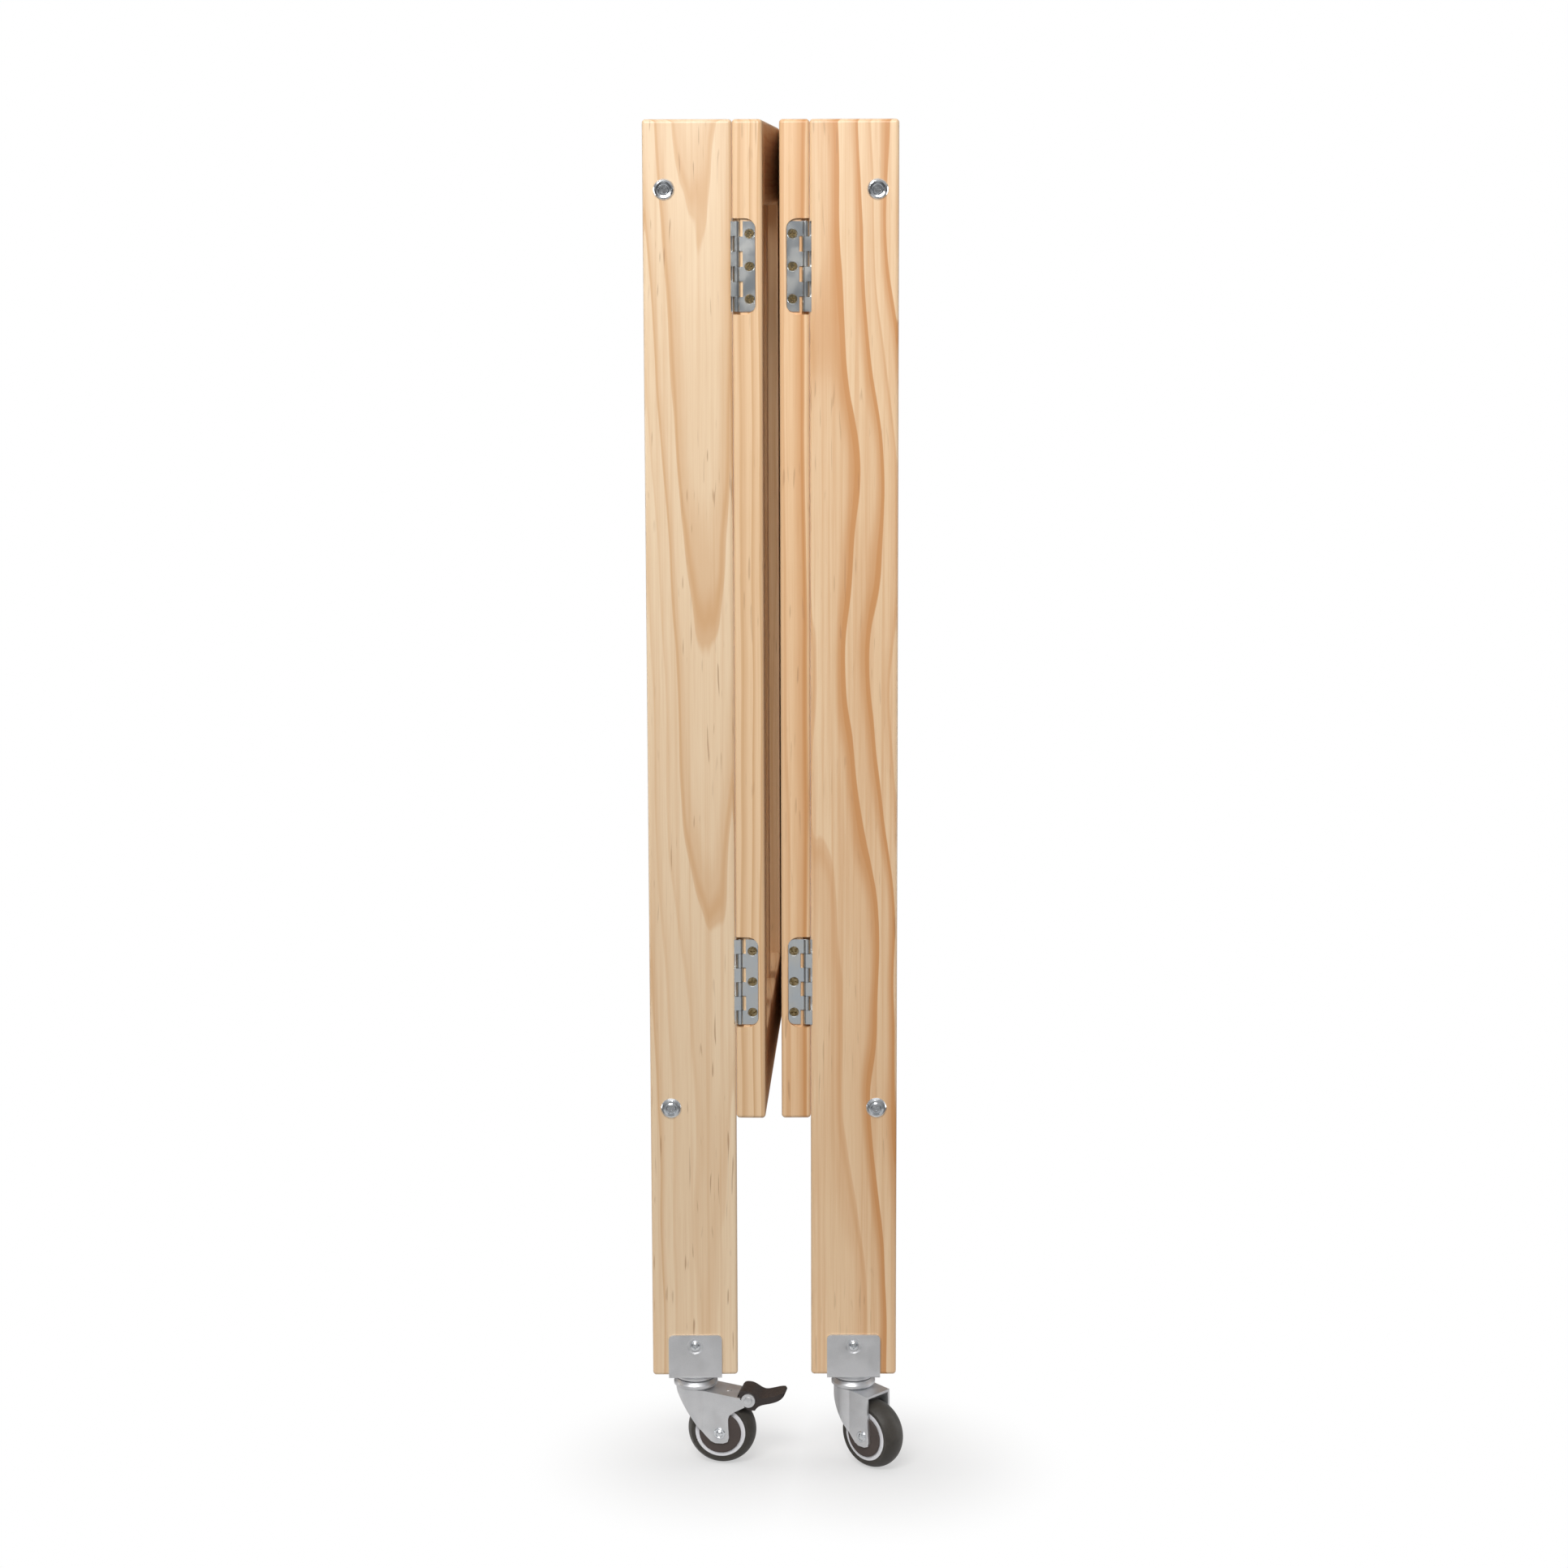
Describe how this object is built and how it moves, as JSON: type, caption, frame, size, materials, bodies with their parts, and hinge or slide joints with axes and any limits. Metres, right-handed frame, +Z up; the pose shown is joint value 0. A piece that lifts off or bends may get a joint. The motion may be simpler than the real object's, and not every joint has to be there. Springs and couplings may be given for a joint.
{
  "type": "folding tray table",
  "caption": "Folding base of a pine tray table on casters: two leg frames joined by a pair of hinged slatted gates, shown folded flat.",
  "frame": {"origin": "on the floor, under the centre of the folded table's bounding box", "axes": "+Z up, -Y towards the narrow hinged end, +X to the right seen from that end"},
  "size_m": [0.1924, 0.4664, 0.9927],
  "materials": {
    "frame_pine": "clear satin lacquer",
    "gate_pine": "clear satin lacquer",
    "bright_zinc": "bright",
    "nut_steel": "plain",
    "bracket_zinc": "matt zinc",
    "hinge_zinc": "bluish zinc",
    "yellow_zinc": "yellow zinc",
    "guard_plastic": "matt",
    "tyre_rubber": "matt",
    "core_plastic": "semi-gloss",
    "pedal_plastic": "satin"
  },
  "bodies": {
    "left_frame": {"left_front_post": "frame_pine", "left_rear_post": "frame_pine", "left_top_rail": "frame_pine", "left_bottom_rail": "frame_pine", "left_connector_bolts": "bright_zinc", "left_barrel_nuts": "nut_steel", "left_caster_brackets": "bracket_zinc", "left_bracket_screws": "bright_zinc", "left_post_hinge_leaves": "hinge_zinc", "left_post_hinge_screws": "yellow_zinc"},
    "left_gate": {"left_gate_near_stile": "gate_pine", "left_gate_far_stile": "gate_pine", "left_gate_top_rail": "gate_pine", "left_gate_bottom_rail": "gate_pine", "left_gate_slat_1": "gate_pine", "left_gate_slat_2": "gate_pine", "left_gate_hinge_leaves": "hinge_zinc", "left_gate_hinge_screws": "yellow_zinc"},
    "right_gate": {"right_gate_near_stile": "gate_pine", "right_gate_far_stile": "gate_pine", "right_gate_top_rail": "gate_pine", "right_gate_bottom_rail": "gate_pine", "right_gate_slat_1": "gate_pine", "right_gate_slat_2": "gate_pine", "right_gate_hinge_leaves": "hinge_zinc", "right_gate_hinge_screws": "yellow_zinc"},
    "right_frame": {"right_front_post": "frame_pine", "right_rear_post": "frame_pine", "right_top_rail": "frame_pine", "right_bottom_rail": "frame_pine", "right_connector_bolts": "bright_zinc", "right_barrel_nuts": "nut_steel", "right_caster_brackets": "bracket_zinc", "right_bracket_screws": "bright_zinc", "right_post_hinge_leaves": "hinge_zinc", "right_post_hinge_screws": "yellow_zinc"},
    "left_front_caster": {"left_front_fork": "bracket_zinc", "left_front_axle": "bright_zinc", "left_front_thread_guards": "guard_plastic"},
    "left_front_wheel": {"left_front_tyre": "tyre_rubber", "left_front_wheel_core": "core_plastic"},
    "left_front_pedal": {"left_front_brake_pedal": "pedal_plastic"},
    "left_rear_caster": {"left_rear_fork": "bracket_zinc", "left_rear_axle": "bright_zinc", "left_rear_thread_guards": "guard_plastic"},
    "left_rear_wheel": {"left_rear_tyre": "tyre_rubber", "left_rear_wheel_core": "core_plastic"},
    "right_front_caster": {"right_front_fork": "bracket_zinc", "right_front_axle": "bright_zinc", "right_front_thread_guards": "guard_plastic"},
    "right_front_wheel": {"right_front_tyre": "tyre_rubber", "right_front_wheel_core": "core_plastic"},
    "right_rear_caster": {"right_rear_fork": "bracket_zinc", "right_rear_axle": "bright_zinc", "right_rear_thread_guards": "guard_plastic"},
    "right_rear_wheel": {"right_rear_tyre": "tyre_rubber", "right_rear_wheel_core": "core_plastic"},
    "right_rear_pedal": {"right_rear_brake_pedal": "pedal_plastic"}
  },
  "joints": [
    {"name": "left_gate_fold", "type": "hinge", "parent": "left_frame", "child": "left_gate", "pos_m": [-0.02389, -0.2133, 0.6312], "axis": [0, 0, -1], "range_deg": [0, 86.75]},
    {"name": "middle_fold", "type": "hinge", "parent": "left_gate", "child": "right_gate", "pos_m": [0.00642, 0.07741, 0.6312], "axis": [0, 0, 1], "range_deg": [0, 177.9]},
    {"name": "right_gate_fold", "type": "hinge", "parent": "right_gate", "child": "right_frame", "pos_m": [0.02509, -0.2133, 0.6312], "axis": [0, 0, -1], "range_deg": [0, 89.6]},
    {"name": "left_front_swivel", "type": "hinge", "parent": "left_frame", "child": "left_front_caster", "pos_m": [-0.05847, -0.19757, 0.0707], "axis": [0, 0, 1], "continuous": true},
    {"name": "left_front_wheel_spin", "type": "hinge", "parent": "left_front_caster", "child": "left_front_wheel", "pos_m": [-0.03871, -0.20069, 0.0257], "axis": [0.1564, 0.9877, 0], "continuous": true},
    {"name": "left_front_brake_press", "type": "hinge", "parent": "left_front_caster", "child": "left_front_pedal", "pos_m": [-0.01728, -0.20409, 0.0523], "axis": [0.1564, 0.9877, 0], "range_deg": [0, 16]},
    {"name": "left_rear_swivel", "type": "hinge", "parent": "left_frame", "child": "left_rear_caster", "pos_m": [-0.06447, 0.16438, 0.0707], "axis": [0, 0, 1], "continuous": true},
    {"name": "left_rear_wheel_spin", "type": "hinge", "parent": "left_rear_caster", "child": "left_rear_wheel", "pos_m": [-0.06447, 0.18438, 0.0257], "axis": [-1, 0, 0], "continuous": true},
    {"name": "right_front_swivel", "type": "hinge", "parent": "right_frame", "child": "right_front_caster", "pos_m": [0.05957, -0.19736, 0.0707], "axis": [0, 0, 1], "continuous": true},
    {"name": "right_front_wheel_spin", "type": "hinge", "parent": "right_front_caster", "child": "right_front_wheel", "pos_m": [0.07396, -0.21125, 0.0257], "axis": [0.6947, 0.7193, 0], "continuous": true},
    {"name": "right_rear_swivel", "type": "hinge", "parent": "right_frame", "child": "right_rear_caster", "pos_m": [0.06336, 0.16462, 0.0707], "axis": [0, 0, 1], "continuous": true},
    {"name": "right_rear_wheel_spin", "type": "hinge", "parent": "right_rear_caster", "child": "right_rear_wheel", "pos_m": [0.06336, 0.18463, 0.0257], "axis": [-1, 0, 0], "continuous": true},
    {"name": "right_rear_brake_press", "type": "hinge", "parent": "right_rear_caster", "child": "right_rear_pedal", "pos_m": [0.06336, 0.20633, 0.0523], "axis": [-1, 0, 0], "range_deg": [0, 16]}
  ],
  "couplings": [
    {"joint": "middle_fold", "follows": "left_gate_fold", "ratio": 2.0484},
    {"joint": "right_gate_fold", "follows": "left_gate_fold", "ratio": 1.0305}
  ]
}
